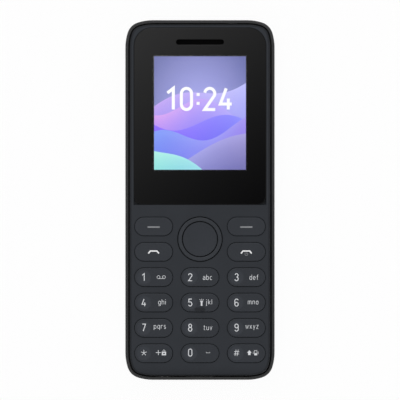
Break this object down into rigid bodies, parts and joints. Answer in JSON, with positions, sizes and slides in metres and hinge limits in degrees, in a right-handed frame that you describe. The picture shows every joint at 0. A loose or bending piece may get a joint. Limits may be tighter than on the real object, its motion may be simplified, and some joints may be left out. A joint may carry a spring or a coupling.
{
  "type": "feature phone",
  "caption": "Candy-bar feature phone: colour display under a glossy lens, call and number keys, four-way ring round a centre key, and a pull-off back cover over a battery.",
  "frame": {"origin": "on the surface it lies on, under the middle of the phone", "axes": "+Z out of the front face, +Y towards the earpiece end, +X to the right of someone who looks at the screen"},
  "size_m": [0.0466, 0.1122, 0.0136],
  "materials": {
    "housing": "fine-textured dark grey moulding",
    "chassis": "dark grey moulding",
    "cover": "fine-textured dark grey moulding",
    "keycap": "satin dark grey caps with pale printed legends",
    "ring": "satin dark grey",
    "lens": "clear plate, black printed behind except over the display",
    "display": "lit colour display",
    "tape": "black double-sided tape",
    "mesh": "black acoustic cloth",
    "silicone": "translucent grey silicone",
    "film": "clear polyester film",
    "flex": "amber polyimide",
    "lamp": "pale lamp body",
    "board": "green solder mask",
    "steel": "pressed steel",
    "gold": "gold-plated contacts",
    "black_plastic": "black moulding",
    "wrap": "dark plastic wrap with no printing",
    "foam": "black foam",
    "clear": "clear moulding",
    "window": "dark glossy window with a clear middle",
    "weight": "sintered heavy metal",
    "screw": "black plated steel"
  },
  "bodies": {
    "root": {"front_housing": "housing", "rear_housing": "chassis", "display_lens": "lens", "lens_adhesive": "tape", "earpiece_mesh": "mesh", "earpiece": "steel", "lcd_frame": "steel", "lcd_panel": "display", "lcd_flex": "flex", "keypad_membrane": "silicone", "dome_film": "film", "key_domes": "steel", "keypad_lights": "lamp", "main_board": "board", "shield_cans": "steel", "sim_sockets": "steel", "memory_card_socket": "steel", "battery_contacts": "gold", "battery_connector": "black_plastic", "speaker_gasket": "foam", "loudspeaker": "steel", "camera_module": "black_plastic", "camera_lens": "clear", "torch_led": "lamp", "torch_lens": "clear", "aerial_carrier": "black_plastic", "aerial_foil": "gold", "audio_jack": "black_plastic", "usb_socket": "steel", "usb_tongue": "black_plastic", "microphone": "steel", "mic_boot": "silicone", "vibration_motor": "steel", "housing_screws": "screw"},
    "soft_key_left": {"soft_key_left": "keycap"},
    "soft_key_right": {"soft_key_right": "keycap"},
    "call_key": {"call_key": "keycap"},
    "end_key": {"end_key": "keycap"},
    "key_1": {"key_1": "keycap"},
    "key_2": {"key_2": "keycap"},
    "key_3": {"key_3": "keycap"},
    "key_4": {"key_4": "keycap"},
    "key_5": {"key_5": "keycap"},
    "key_6": {"key_6": "keycap"},
    "key_7": {"key_7": "keycap"},
    "key_8": {"key_8": "keycap"},
    "key_9": {"key_9": "keycap"},
    "key_star": {"key_star": "keycap"},
    "key_0": {"key_0": "keycap"},
    "key_hash": {"key_hash": "keycap"},
    "ok_key": {"ok_key": "keycap"},
    "nav_pad": {"nav_pad": "silicone"},
    "nav_ring": {"nav_ring": "ring"},
    "battery_cover": {"battery_cover": "cover", "camera_window": "window", "speaker_mesh": "mesh"},
    "battery": {"battery_cell": "wrap", "battery_cap": "black_plastic", "battery_pads": "gold"},
    "vibration_weight": {"vibration_weight": "weight"}
  },
  "joints": [
    {"name": "soft_key_left_press", "type": "slide", "parent": "root", "child": "soft_key_left", "axis": [0, 0, -1], "range_m": [0, 0.00035], "stiffness_N_per_m": 4000},
    {"name": "soft_key_right_press", "type": "slide", "parent": "root", "child": "soft_key_right", "axis": [0, 0, -1], "range_m": [0, 0.00035], "stiffness_N_per_m": 4000},
    {"name": "call_key_press", "type": "slide", "parent": "root", "child": "call_key", "axis": [0, 0, -1], "range_m": [0, 0.00035], "stiffness_N_per_m": 4000},
    {"name": "end_key_press", "type": "slide", "parent": "root", "child": "end_key", "axis": [0, 0, -1], "range_m": [0, 0.00035], "stiffness_N_per_m": 4000},
    {"name": "key_1_press", "type": "slide", "parent": "root", "child": "key_1", "axis": [0, 0, -1], "range_m": [0, 0.00035], "stiffness_N_per_m": 4000},
    {"name": "key_2_press", "type": "slide", "parent": "root", "child": "key_2", "axis": [0, 0, -1], "range_m": [0, 0.00035], "stiffness_N_per_m": 4000},
    {"name": "key_3_press", "type": "slide", "parent": "root", "child": "key_3", "axis": [0, 0, -1], "range_m": [0, 0.00035], "stiffness_N_per_m": 4000},
    {"name": "key_4_press", "type": "slide", "parent": "root", "child": "key_4", "axis": [0, 0, -1], "range_m": [0, 0.00035], "stiffness_N_per_m": 4000},
    {"name": "key_5_press", "type": "slide", "parent": "root", "child": "key_5", "axis": [0, 0, -1], "range_m": [0, 0.00035], "stiffness_N_per_m": 4000},
    {"name": "key_6_press", "type": "slide", "parent": "root", "child": "key_6", "axis": [0, 0, -1], "range_m": [0, 0.00035], "stiffness_N_per_m": 4000},
    {"name": "key_7_press", "type": "slide", "parent": "root", "child": "key_7", "axis": [0, 0, -1], "range_m": [0, 0.00035], "stiffness_N_per_m": 4000},
    {"name": "key_8_press", "type": "slide", "parent": "root", "child": "key_8", "axis": [0, 0, -1], "range_m": [0, 0.00035], "stiffness_N_per_m": 4000},
    {"name": "key_9_press", "type": "slide", "parent": "root", "child": "key_9", "axis": [0, 0, -1], "range_m": [0, 0.00035], "stiffness_N_per_m": 4000},
    {"name": "key_star_press", "type": "slide", "parent": "root", "child": "key_star", "axis": [0, 0, -1], "range_m": [0, 0.00035], "stiffness_N_per_m": 4000},
    {"name": "key_0_press", "type": "slide", "parent": "root", "child": "key_0", "axis": [0, 0, -1], "range_m": [0, 0.00035], "stiffness_N_per_m": 4000},
    {"name": "key_hash_press", "type": "slide", "parent": "root", "child": "key_hash", "axis": [0, 0, -1], "range_m": [0, 0.00035], "stiffness_N_per_m": 4000},
    {"name": "ok_key_press", "type": "slide", "parent": "root", "child": "ok_key", "axis": [0, 0, -1], "range_m": [0, 0.00035], "stiffness_N_per_m": 4000},
    {"name": "nav_rock_up_down", "type": "hinge", "parent": "root", "child": "nav_pad", "pos_m": [0, -0.01219, 0.01118], "axis": [1, 0, 0], "range_deg": [-2, 2], "stiffness_Nm_per_rad": 0.2},
    {"name": "nav_rock_left_right", "type": "hinge", "parent": "nav_pad", "child": "nav_ring", "pos_m": [0, -0.01219, 0.01118], "axis": [0, 1, 0], "range_deg": [-2, 2], "stiffness_Nm_per_rad": 0.2},
    {"name": "battery_cover_off", "type": "slide", "parent": "root", "child": "battery_cover", "axis": [0, 0, -1], "range_m": [0, 0.03]},
    {"name": "battery_out", "type": "slide", "parent": "root", "child": "battery", "axis": [0, 0, -1], "range_m": [0, 0.012]},
    {"name": "vibration_weight_spin", "type": "hinge", "parent": "root", "child": "vibration_weight", "pos_m": [0.0169, -0.04394, 0.00455], "axis": [1, 0, 0], "continuous": true}
  ],
  "couplings": [
    {"joint": "battery_out", "follows": "battery_cover_off", "ratio": 0.4}
  ]
}
